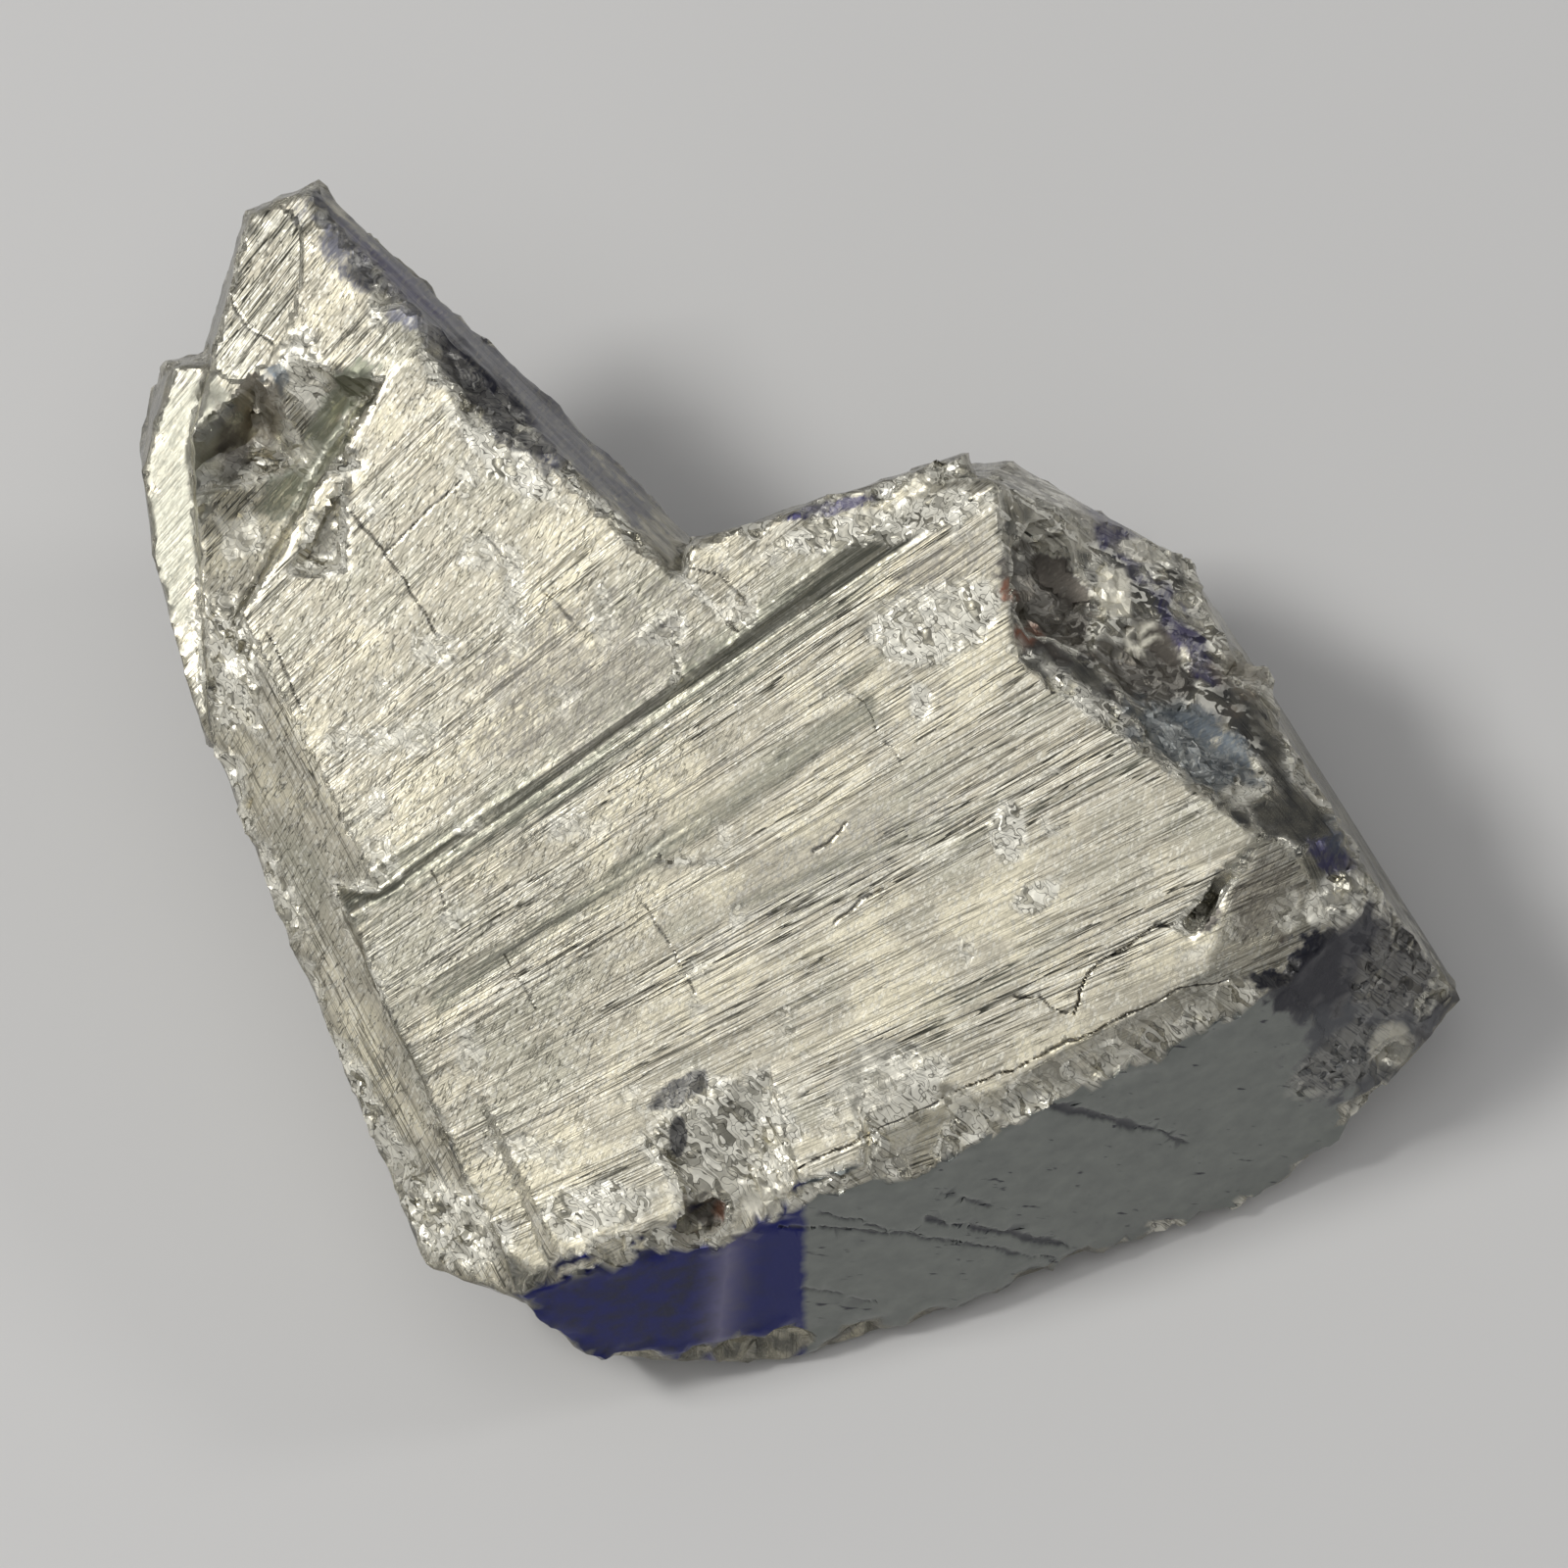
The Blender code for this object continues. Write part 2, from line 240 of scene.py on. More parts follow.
# Cracks and scratches: a bent line on the face, half its width and its depth.
CRACKS = (
    (((24.7, 2.2), (24.7, -0.6), (24.2, -2.6)), 0.07, 0.18),
    (((20.5, -7.0), (18.8, -7.3), (17.7, -8.1), (16.3, -9.0), (15.2, -10.1), (14.6, -11.8)), 0.06, 0.14),
    (((2.9, 5.0), (4.0, 4.1), (6.2, 0.8)), 0.04, 0.05),
    (((1.5, -3.5), (2.4, -2.9), (3.2, -2.0)), 0.06, 0.08),
    (((2.5, -7.0), (3.6, -6.4), (5.0, -5.2)), 0.06, 0.08),
    (((-18.0, -4.5), (-17.2, -6.5)), 0.05, 0.06),
    (((-14.2, -8.7), (-12.7, -11.5)), 0.05, 0.06),
    (((-7.2, -6.0), (-5.9, -8.0), (-4.5, -10.7)), 0.05, 0.07),
    (((-5.5, 11.2), (-3.2, 10.6), (-1.5, 9.0)), 0.05, 0.07),
    (((-22.2, 13.9), (-20.6, 12.2), (-18.3, 8.7), (-17.3, 7.2)), 0.05, 0.08),
    (((-12.4, 9.9), (-10.7, 8.2)), 0.05, 0.07),
    (((-28.4, 25.0), (-27.6, 23.4), (-26.2, 22.5)), 0.05, 0.07),
    (((-20.5, 11.7), (-16.5, 15.5)), 0.05, 0.06),
    (((-26.5, 7.8), (-25.2, 5.2), (-24.6, 3.4)), 0.05, 0.07),
    (((-15.5, 13.0), (-13.4, 10.8)), 0.05, 0.07),
    (((11.7, -10.8), (13.0, -11.0), (13.6, -11.4), (14.4, -11.5)), 0.05, 0.09),
    (((0.0, -20.0), (10.3, -15.0), (13.0, -13.9), (20.0, -10.5), (22.5, -10.0)), 0.06, 0.12),
    (((-0.2, -22.6), (5.8, -23.2), (14.2, -24.9)), 0.13, 0.09),
    (((2.0, -22.0), (7.0, -23.4)), 0.10, 0.08),
    (((7.4, -22.4), (11.0, -23.3), (14.8, -24.2)), 0.26, 0.12),
    (((8.0, -21.0), (10.6, -21.8)), 0.14, 0.09),
    (((11.6, -15.8), (14.2, -16.5), (18.0, -17.7)), 0.28, 0.12),
    (((14.2, -16.3), (21.0, -18.6)), 0.16, 0.10),
    (((1.0, -26.2), (4.8, -27.0)), 0.12, 0.07),
)


CELL_PRIMES = np.array([73856093, 19349663, 83492791])
SEED_PRIME = 7919
FIRST_STIR = 1274126177
SECOND_STIR = 668265263


def chance(cell, seed):
    """A number from 0 to 1 for each lattice cell, the same each time. Each pattern has its own seed."""
    key = cell.astype(np.int64) @ CELL_PRIMES + seed * SEED_PRIME
    key = (key ^ (key >> 13)) * FIRST_STIR
    key = (key ^ (key >> 16)) * SECOND_STIR
    return ((key ^ (key >> 15)) & 0xFFFFFF) / 0x1000000


def ripple(places, seed):
    """Smooth noise from -1 to 1, with one bump for each unit of the places."""
    whole = np.floor(places)
    part = places - whole
    part = part * part * (3 - 2 * part)
    total = np.zeros(len(places))
    for corner in np.ndindex(2, 2, 2):
        step = np.array(corner)
        total += chance(whole + step, seed) * np.prod(np.where(step, part, 1 - part), axis=1)
    return total * 2 - 1


def rough(places, seed, octaves=3):
    """Ripples with finer and finer ones on them, from about -1 to 1."""
    total = np.zeros(len(places))
    for octave in range(octaves):
        total += ripple(places * 2**octave, seed + octave) / 2**octave
    return total / 1.6


def crumbs(all_places, size, seed, wanted):
    """The height of small flat facets, each of them leaning its own way, where they are wanted."""
    heights = np.zeros(len(all_places))
    places = all_places[wanted]
    scaled = places / size
    whole = np.floor(scaled)
    nearest = np.full(len(places), 9.0)
    height = np.zeros(len(places))
    for corner in np.ndindex(3, 3, 3):
        cell = whole + np.array(corner) - 1
        away = scaled - cell - np.stack([chance(cell, seed + axis) for axis in range(3)], 1)
        lean = np.stack([chance(cell, seed + 3 + axis) for axis in range(3)], 1) * 2 - 1
        distance = (away**2).sum(1)
        closer = distance < nearest
        nearest = np.where(closer, distance, nearest)
        height = np.where(closer, (away * lean).sum(1) + chance(cell, seed + 6) - 0.5, height)
    heights[wanted] = height * size
    return heights


def crinkle(all_places, seed, wanted):
    """The height of creased foil, from -1 to 1, where it is wanted."""
    heights = np.zeros(len(all_places))
    x, y, z = all_places[wanted].T
    places = np.column_stack([x * 0.87 + y * 0.5, (y * 0.87 - x * 0.5) * 0.6, z])
    for octave in range(3):
        heights[wanted] += (0.5 - np.abs(ripple(places * 2**octave, seed + octave))) * 1.4 / 2**octave
    return heights


def smooth(value, low, high):
    """0 below low and 1 above high, with a soft step between them."""
    part = np.clip((value - low) / (high - low), 0, 1)
    return part * part * (3 - 2 * part)


def ledges(along, across, length, spacing, seed):
    """Flat steps that run along the growth lines and die out, about a spacing apart; one unit high."""
    level = rough(np.column_stack([along / length, across / spacing, along * 0 + seed]), seed) * 3
    return np.floor(level) + smooth(level - np.floor(level), 0.4, 0.6)


def wander(places, size, seed, other_seed):
    """Ragged moves along the face, from about -1 to 1 across and up it."""
    level = places[:, 0] * 0
    return np.stack([rough(places / size, seed), rough(places / size, other_seed), level], 1)


def patch(places, ragged, x, y, half_x, half_y, turn_deg=0):
    """1 inside a patch on the face and 0 outside, with a ragged border."""
    angle = math.radians(turn_deg)
    away = places[:, :2] - (x, y)
    right = away @ (math.cos(angle), math.sin(angle)) / half_x
    up = away @ (-math.sin(angle), math.cos(angle)) / half_y
    reach = np.hypot(right, up) + ragged
    return 1 - smooth(reach, 0.8, 1.15)


def off_line(places, points):
    """How far each place is from a bent line on the face."""
    nearest = np.full(len(places), 99.0)
    for start, end in zip(points, points[1:]):
        start, end = np.array(start), np.array(end)
        run = end - start
        part = np.clip((places[:, :2] - start) @ run / (run @ run), 0, 1)
        nearest = np.minimum(nearest, np.linalg.norm(places[:, :2] - start - part[:, None] * run, axis=1))
    return nearest


def banded(places):
    """How much each place belongs to a growth band."""
    band = np.zeros(len(places))
    uneven = rough(places / 0.8, 81)
    for points, half_width, strength in BANDS:
        distance = off_line(places, points) + uneven * half_width * 0.8
        band = np.maximum(band, (1 - smooth(distance, half_width * 0.4, half_width * 1.6)) * strength)
    return band


class Survey:
    """What each vertex belongs to: its facet, its place on the growth lines, and how far an edge is."""

    def __init__(self, mesh):
        self.places = on_face(mesh)
        facet = np.array([facets.find_nearest(Vector(place))[2] for place in self.places])
        self.normal = facet_normal[facet]
        self.great = on_top[facet]
        self.edge = np.array([edges.find(place)[2] for place in self.places])
        self.resting = (self.normal[:, 1] < -0.3) & (self.normal[:, 2] < -0.9)  # the flat back
        self.bottom = np.maximum(facing(self.normal, BOTTOM), facing(self.normal, LOWER_BOTTOM))
        self.bottom *= ~self.great
        self.find_lines()
        self.find_breaks(plane_area[facet])

    def find_lines(self):
        """The growth lines fan out over the great faces, and run level or straight out on the sides."""
        x_side = np.array([math.cos(GRAIN), math.sin(GRAIN), 0.0])
        y_side = np.array([-math.sin(GRAIN), math.cos(GRAIN), 0.0])
        facing_x = np.abs(self.normal @ x_side) > np.abs(self.normal @ y_side)
        line = np.where(facing_x[:, None], y_side, np.array([0.0, 0.0, 1.0]))
        line = line - (line * self.normal).sum(1)[:, None] * self.normal
        line /= np.maximum(np.linalg.norm(line, axis=1), 1e-6)[:, None]
        sideways = (self.places * np.cross(self.normal, line)).sum(1)
        from_centre = self.places[:, :2] - FAN_CENTRE
        fan_across = (np.arctan2(from_centre[:, 1], from_centre[:, 0]) - GRAIN) * FAN_REACH
        self.along = np.where(self.great, np.linalg.norm(from_centre, axis=1), (self.places * line).sum(1))
        self.across = np.where(self.great, fan_across, sideways)
        on_tooth = (patch(self.places, 0.0, *TOOTH) > 0.5) & self.great
        tooth_line = self.places[:, :2] @ (math.cos(TOOTH_GRAIN), math.sin(TOOTH_GRAIN))
        tooth_side = self.places[:, :2] @ (-math.sin(TOOTH_GRAIN), math.cos(TOOTH_GRAIN))
        self.along = np.where(on_tooth, tooth_line, self.along)
        self.across = np.where(on_tooth, tooth_side, self.across)

    def find_breaks(self, flat_area):
        """Small facets are breaks, the patches are crumbled, and the edges are worn in places."""
        broke_clean = 0.9 * smooth(-self.places[:, 1], *CLEAN_RIM)
        self.broken = (1 - smooth(flat_area, BREAK_AREA * 0.4, BREAK_AREA)) * ~self.great
        self.broken *= (1 - self.bottom) * (1 - broke_clean)
        self.wear = smooth(rough(self.places / 2.4, 31), -0.35, 0.35) * (1 - broke_clean)
        self.ragged = rough(self.places / 1.1, 71) * 0.45
        self.crumbled = np.zeros(len(self.places))
        top = smooth(self.normal[:, 2], 0.2, 0.4)
        for spot in CRUMBLED.values():
            self.crumbled = np.maximum(self.crumbled, patch(self.places, self.ragged, *spot) * top)
        self.crumbled = np.maximum(self.crumbled, facing(self.normal, LOWER_RIM, 8) * 0.35)
        scattered = smooth(rough(self.places / 2.3, 201), 0.36, 0.52) * 0.6
        self.crumbled = np.maximum(self.crumbled, scattered * self.great)


def refine(wanted, cuts):
    """Divides the edges on the front whose two ends are both wanted."""
    on_front = read(stone.data, "normal") @ OUTWARD > 0.3
    ends = np.empty(len(stone.data.edges) * 2, np.int32)
    stone.data.edges.foreach_get("vertices", ends)
    chosen = (wanted & on_front)[ends.reshape(-1, 2)].all(1)
    for kind in (stone.data.vertices, stone.data.polygons):
        kind.foreach_set("select", np.zeros(len(kind), bool))
    stone.data.edges.foreach_set("select", chosen)
    bpy.ops.object.mode_set(mode="EDIT")
    bpy.ops.mesh.subdivide(number_cuts=cuts)
    bpy.ops.object.mode_set(mode="OBJECT")


# The crumbled patches and the growth bands on the front get a finer mesh.
bpy.context.tool_settings.mesh_select_mode = (False, True, False)
places = on_face(stone.data)
crumbly = np.maximum.reduce([patch(places, 0.0, *spot) for spot in CRUMBLED.values()])
refine(np.maximum(crumbly, banded(places) - 0.2) > 0.02, 1)

seen = Survey(stone.data)
places = seen.places

# Broken places and worn edges are covered with small blocks and chips.
near_edge = (1 - smooth(seen.edge, 0.1, np.where(seen.great, 0.35, 0.9))) * seen.wear
near_edge *= (1 - 0.8 * seen.bottom) * np.where(seen.great, 0.5, 1.0)
broken = np.maximum.reduce([near_edge * 0.8, seen.broken * 0.7, seen.crumbled * ~seen.great])
wanted = broken > 0.01
blocks = crumbs(places, BLOCK_SIZE, 41, wanted) * BLOCK_HEIGHT
chips = crumbs(places, CHIP_SIZE, 51, wanted) * CHIP_HEIGHT

# How far each vertex is pushed out: growth steps all over, then creases and streaks, blocks and slow waves.
coarse_steps = ledges(seen.along, seen.across, 30, 1.6, 11) * COARSE_STEP
fine_steps = ledges(seen.along, seen.across, 16, 0.6, 17) * FINE_STEP
side_steps = SIDE_STEPS * (1 - 0.9 * seen.bottom)
push = (coarse_steps + fine_steps) * np.where(seen.great, 1.0, side_steps) - SUNK
push += crinkle(places / 2.0, 221, seen.broken > 0.01) * seen.broken * BREAK_CREASE
streaks = np.column_stack([seen.along / 4.0, seen.across / 0.33, seen.along * 0])
push += rough(streaks, 161, 2) * banded(places) * seen.great * BAND_STREAK
creases = crinkle(places / 1.1, 211, seen.crumbled > 0.01)
push += creases * seen.crumbled * np.where(seen.great, PATCH_CREASE, SIDE_CREASE)
push += (blocks + chips) * broken - near_edge * WORN_OFF - seen.crumbled * HOLLOW
push += rough(places / 7.0, 61, 2) * np.where(seen.great, WAVE, SIDE_WAVE)
push = np.where(seen.resting, 0.0, push)

# The edges wander sideways too, apart from those of the flat back.
ragged = (1 - smooth(seen.edge, 0.3, np.where(seen.great, 1.8, 0.9))) * ~seen.resting * RAGGED_EDGE
shift = wander(places, 1.7, 131, 141) * ragged[:, None]


def put(places):
    """Moves the vertices to their new places on the great face, inside the stone's box."""
    moved = (turn(places, LEAN) + GREAT_FACE_MIDDLE) * MM
    moved = np.clip(moved, cad_box[0], cad_box[1])
    stone.data.vertices.foreach_set("co", moved.astype(np.float32).ravel())
    stone.data.update()


vertex_normal = turn(read(stone.data, "normal"), -LEAN)
put(places + shift + vertex_normal * push[:, None])

# The great faces keep their fine mesh, and the sides and the back are thinned out.
keep = stone.vertex_groups.new(name="thin out")
thinning = np.where(seen.great, 0.0, 0.5 - 0.3 * near_edge) * (1 - 0.6 * seen.crumbled)
thinning = np.where(seen.resting, 1.0, thinning)
for low in np.arange(0, 1, 0.25):
    chosen = np.nonzero((thinning > low) & (thinning <= low + 0.25))[0]
    keep.add(chosen.tolist(), low + 0.25, "REPLACE")
decimate = stone.modifiers.new("thin out", "DECIMATE")
decimate.ratio = STONE_TRIANGLES / sum(len(face.vertices) - 2 for face in stone.data.polygons)
decimate.vertex_group = keep.name
bpy.ops.object.modifier_apply(modifier=decimate.name)
stone.vertex_groups.clear()


def crack_depth(places, widen=0.0):
    """How deep the cracks are at each place, or how deep they are nearby."""
    depths = np.zeros(len(places))
    crooked = places + wander(places, 1.3, 151, 156) * CROOKED_CRACK
    open_here = 1.0
    if widen == 0:
        open_here = np.clip(rough(places / 0.7, 161) * 0.9 + 0.75, 0.3, 1.2)
    for points, half_width, depth in CRACKS:
        distance = np.maximum(off_line(crooked, points) - widen, 0.0) / open_here
        depths = np.maximum(depths, (1 - smooth(distance, half_width * 0.3, half_width * 1.3)) * depth)
    return depths * (places[:, 2] > LOWEST_CRACK)


# The cracks are cut last, into a still finer mesh around them.
refine(crack_depth(on_face(stone.data), AROUND_CRACKS) > 0, 2)
seen = Survey(stone.data)
places, normal = seen.places, seen.normal
depth = crack_depth(places) * np.maximum(seen.great, seen.bottom)
vertex_normal = turn(read(stone.data, "normal"), -LEAN)
put(places - depth[:, None] * vertex_normal)
bpy.ops.object.shade_smooth_by_angle(angle=CREASE_ANGLE)

# ---- The stone's stains and painted light -------------------------------------------------------------
# Colours laid on the skin. The air and the vein's water left brown and rust stains, and growth paused in
# darker bands. The rest is painted light: grey-blue and violet films and the darker steep faces are painted
# reflections, black and dark grey patches and the band over the growth step are painted shade, and pale
# brass patches are painted highlights. They lie on the same stone and have no thickness.

# Where many fine growth lines lie close together: middle (x, y), half sizes and turn in degrees.
LINED = (
    (3.0, 9.0, 9.0, 2.6, 34),
    (-8.0, 2.0, 8.0, 1.8, 34),
    (-14.0, -8.0, 5.5, 2.6, 31),
    (13.0, 1.0, 9.0, 3.5, 28),
    (17.0, -7.0, 6.5, 2.6, 26),
    (9.0, -13.0, 9.0, 1.8, 25),
    (-2.0, -8.0, 8.0, 1.2, 28),
    TOOTH,
)

# Where flakes glitter on the bevel and the right end, and where the shoulder is crackled.
BEVEL_GLITTER = (17.5, 9.0, 9.5, 3.6, -48)
END_GLITTER = (31.6, -9.5, 2.8, 4.2, 10)
SHOULDER = (24.6, -6.0, 2.2, 3.0, -30)

UNSTAINED = (0.2, 0.2, 0.2)
# The grey-blue and violet below are painted reflections of blue surroundings, on faces turned from the
# light.
GREY_BLUE_REFLECTION = (0.16, 0.19, 0.21)
VIOLET_REFLECTION = (0.055, 0.048, 0.14)
BROWN_GREY = (0.12, 0.105, 0.085)
RUST = (0.28, 0.11, 0.06)
OLIVE = (0.30, 0.31, 0.22)
TAN = (0.30, 0.25, 0.17)
# Black, the strip's grey and dark grey are painted shade, for hollows and faces turned from the light.
BLACK_SHADE = (0.022, 0.022, 0.032)
STRIP_SHADE = (0.13, 0.13, 0.155)
DARK_GREY = (0.085, 0.09, 0.10)
WORN_BROWN = (0.33, 0.295, 0.225)
YELLOW_BRASS = (0.82, 0.71, 0.45)
DULL = (0.44, 0.43, 0.34)
# Pale brass is a painted highlight, for flakes and plates that would flash in the light.
BRASS_HIGHLIGHT = (0.80, 0.76, 0.62)

# Stains, films and painted light: middle (x, y), half sizes, turn in degrees, colour and strength. The
# grey-blue and violet ones are painted reflections, the black, strip and dark grey ones painted shade, and
# the pale brass ones painted highlights; some brown-grey ones and the dull one are painted shade too.
STAINS_AND_PAINTED_LIGHT = (
    (13.5, 9.2, 2.2, 3.4, 15, BROWN_GREY, 0.9),
    (18.6, 6.0, 2.8, 2.6, 30, BROWN_GREY, 0.9),
    (11.5, 9.8, 0.5, 0.6, 0, RUST, 0.8),
    (12.3, 7.6, 0.9, 0.6, 0, RUST, 0.8),
    (20.8, 2.0, 3.6, 1.8, -30, GREY_BLUE_REFLECTION, 0.8),
    (16.9, 13.2, 3.4, 1.1, -48, VIOLET_REFLECTION, 0.8),
    (20.6, 7.8, 4.2, 0.8, -60, VIOLET_REFLECTION, 0.7),
    (2.9, 14.2, 2.8, 0.4, 12, VIOLET_REFLECTION, 0.8),
    (-15.9, 22.1, 13.4, 1.7, -42, STRIP_SHADE, 0.75),
    (-20.0, 26.2, 3.4, 0.5, -42, VIOLET_REFLECTION, 0.5),
    (23.6, 5.5, 1.6, 2.0, 0, TAN, 0.7),
    (28.5, -9.2, 4.5, 2.2, 25, BLACK_SHADE, 0.9),
    (28.3, -3.6, 1.8, 1.1, -20, VIOLET_REFLECTION, 0.7),
    # Painted shade on the dark right corner.
    (30.2, -13.4, 4.2, 2.6, 32, DARK_GREY, 0.9),
    # Painted shade that dims a facet by the crack, which would catch the key light.
    (21.6, -6.9, 0.45, 1.3, -35, BROWN_GREY, 0.8),
    (32.3, -9.3, 2.2, 3.2, 10, BLACK_SHADE, 0.85),
    (24.5, -5.8, 1.6, 2.6, -30, TAN, 0.5),
    (28.6, -2.0, 1.4, 1.5, 0, GREY_BLUE_REFLECTION, 0.6),
    (-5.1, -0.4, 2.0, 2.0, 0, YELLOW_BRASS, 0.3),
    (-10.5, 5.0, 6.5, 3.6, 30, WORN_BROWN, 0.5),
    (8.0, 11.0, 3.0, 1.2, 32, WORN_BROWN, 0.5),
    (2.0, -4.0, 7.0, 2.2, 28, WORN_BROWN, 0.35),
    (19.0, -9.5, 2.2, 1.6, 30, YELLOW_BRASS, 0.3),
    (13.1, -12.7, 1.2, 1.2, 0, YELLOW_BRASS, 0.3),
    (-5.3, -15.6, 1.6, 0.6, 30, BLACK_SHADE, 0.8),
    (-5.4, -18.0, 0.5, 0.9, 0, BLACK_SHADE, 0.9),
    # Painted shade in the notch's hollow.
    (-4.0, -21.9, 1.1, 1.0, 30, BROWN_GREY, 0.9),
    (-3.3, -21.8, 0.35, 0.6, 0, RUST, 0.9),
    (-6.1, 7.9, 0.8, 0.5, 20, BLACK_SHADE, 0.6),
    (-26.4, 20.2, 0.8, 1.4, -15, GREY_BLUE_REFLECTION, 0.8),
    (-26.9, 19.0, 1.3, 1.9, 0, TAN, 0.7),
    (-28.5, 17.2, 1.3, 1.7, 0, BROWN_GREY, 0.8),
    (-22.2, 20.3, 2.2, 0.9, 42, OLIVE, 0.8),
    (-24.8, 16.0, 1.1, 3.6, -32, OLIVE, 0.7),
    (-23.5, 12.3, 0.6, 1.0, 0, BLACK_SHADE, 0.6),
    (-15.0, 19.7, 4.2, 1.1, -51, BLACK_SHADE, 0.85),
    # Painted shade that dims the left block, which would catch the key light brightly.
    (-31.2, 14.5, 1.9, 8.0, -8, DULL, 0.75),
    # Painted highlights: pale brass flakes and plates that would flash in the light.
    (16.8, 9.9, 0.9, 1.5, 0, BRASS_HIGHLIGHT, 0.95),
    (18.0, 7.7, 1.2, 0.22, 30, BRASS_HIGHLIGHT, 0.95),
    (18.2, 7.1, 1.1, 0.18, 28, BRASS_HIGHLIGHT, 0.95),
    (15.3, 13.5, 0.7, 1.6, 10, BRASS_HIGHLIGHT, 0.7),
    (18.8, 12.0, 1.5, 0.8, -10, BRASS_HIGHLIGHT, 0.8),
    (12.6, 15.0, 1.6, 1.0, -20, BRASS_HIGHLIGHT, 0.5),
    (-1.1, -21.3, 1.6, 1.0, 20, BRASS_HIGHLIGHT, 0.7),
    (-2.0, -23.0, 0.8, 0.3, -20, BRASS_HIGHLIGHT, 0.9),
    (4.5, -15.0, 2.2, 1.7, 30, BRASS_HIGHLIGHT, 0.6),
    (-23.5, 12.6, 0.5, 0.9, 0, BRASS_HIGHLIGHT, 0.7),
    (-25.0, 17.0, 0.9, 0.8, 20, BRASS_HIGHLIGHT, 0.7),
    (-27.9, 12.6, 0.9, 1.1, 0, BRASS_HIGHLIGHT, 0.7),
    (31.8, -13.6, 1.1, 1.2, 20, BRASS_HIGHLIGHT, 0.6),
    (28.5, -5.6, 1.8, 0.6, 30, BRASS_HIGHLIGHT, 0.7),
)


def write_mask(name, values):
    """Keeps a value for each vertex, for the skin to read."""
    layer = stone.data.attributes.new(name, "FLOAT", "POINT")
    layer.data.foreach_set("value", np.asarray(values, np.float32))


write_mask("crack", smooth(depth, 0.01, 0.11))
write_mask("bottom", seen.bottom)
# The pale brass faces: the great faces, and the flank and lower rim, which catch the light. The others get
# darker colours below, as painted reflection.
write_mask("bright", np.maximum.reduce([seen.great, facing(normal, FLANK), facing(normal, LOWER_RIM)]))
# Painted shade: the right end, and faintly the bevel, are painted near black where they turn from the
# light.
write_mask("dark", np.maximum(facing(normal, RIGHT_END), facing(normal, BEVEL, 6) * 0.3))
write_mask("band", banded(places) * seen.great)
write_mask("lined", np.maximum.reduce([patch(places, seen.ragged, *spot) for spot in LINED]))

# The great face is crackled more and more towards its left end.
left_part = smooth(-places[:, 0] + places[:, 1] * 0.35 + seen.ragged * 4, 0.0, 7.0)
write_mask("hatched", np.maximum(left_part, patch(places, seen.ragged, *SHOULDER)))

flakes = patch(places, seen.ragged, *BEVEL_GLITTER)
flakes = np.maximum(flakes, patch(places, seen.ragged, *END_GLITTER) * 0.9)
write_mask("glitter", flakes * smooth(normal[:, 2], 0.0, 0.2) * ~seen.great)

streaks = np.column_stack([seen.along / 6.5, seen.across / 2.4, seen.along * 0])
write_mask("tone", rough(streaks, 91, 4) * 0.5 + rough(places / 2.4, 95, 4) * 0.6)

# The stains, films and patches of painted light are laid over each other, with ragged borders.
stain_and_light_colours = np.tile((*UNSTAINED, 0.0), (len(places), 1))
spread = seen.ragged * 1.3 + rough(places / 0.35, 231) * 0.25
upward = smooth(normal[:, 2], 0.0, 0.25)
for *spot, patch_colour, strength in STAINS_AND_PAINTED_LIGHT:
    amount = (patch(places, spread, *spot) * upward * strength)[:, None]
    stain_and_light_colours[:, :3] += (patch_colour - stain_and_light_colours[:, :3]) * amount
    stain_and_light_colours[:, 3:] = np.maximum(stain_and_light_colours[:, 3:], amount)
stain_and_light_layer = stone.data.attributes.new("stains_and_painted_light", "FLOAT_COLOR", "POINT")
stain_and_light_layer.data.foreach_set("color", stain_and_light_colours.astype(np.float32).ravel())

# Flakes show where the skin is crumbled, broken or worn, unless a stain or a patch of painted light covers
# them.
worn_edge = (1 - smooth(seen.edge, 0.1, np.where(seen.great, 0.35, 0.6))) * seen.wear * (1 - seen.bottom)
flaky = np.maximum.reduce([seen.crumbled, seen.broken * 0.9, worn_edge])
write_mask("crumbled", flaky * (1 - 0.85 * stain_and_light_colours[:, 3]))

# The place along and across the growth lines, for the patterns that follow them.
growth_layer = stone.data.attributes.new("growth", "FLOAT_VECTOR", "POINT")
along_lines = np.column_stack([seen.along, seen.across, places[:, 2]])
growth_layer.data.foreach_set("vector", along_lines.astype(np.float32).ravel())

# ---- The stone's skin ---------------------------------------------------------------------------------
# Pyrite is a pale brassy metal sulphide. Its lines hold shadow and dirt, its steep faces are smooth and
# painted darker grey as a painted reflection, and its breaks glitter in small facets.

skin = bpy.data.materials.new("pyrite skin")
skin.use_nodes = True
tree = skin.node_tree
shader = tree.nodes["Principled BSDF"]


def add(kind, **settings):
    """A new node of the skin."""
    made = tree.nodes.new("ShaderNode" + kind)
    for name, value in settings.items():
        setattr(made, name, value)
    return made


def feed(socket, value):
    """Sets a socket to a number or a colour, or links it."""
    if isinstance(value, bpy.types.NodeSocket):
        tree.links.new(value, socket)
    elif isinstance(value, tuple) and len(socket.default_value) == 4:
        socket.default_value = (*value, 1.0)
    else:
        socket.default_value = value


def mask(name):
    """A value kept for each vertex."""
    return add("Attribute", attribute_name=name).outputs["Fac"]


def calculate(operation, *terms):
    made = add("Math", operation=operation)
    for socket, term in zip(made.inputs, terms):
        feed(socket, term)
    return made.outputs[0]


def times(*terms):
    total = terms[0]
    for term in terms[1:]:
        total = calculate("MULTIPLY", total, term)
    return total


def plus(*terms):
    total = terms[0]
    for term in terms[1:]:
        total = calculate("ADD", total, term)
    return total


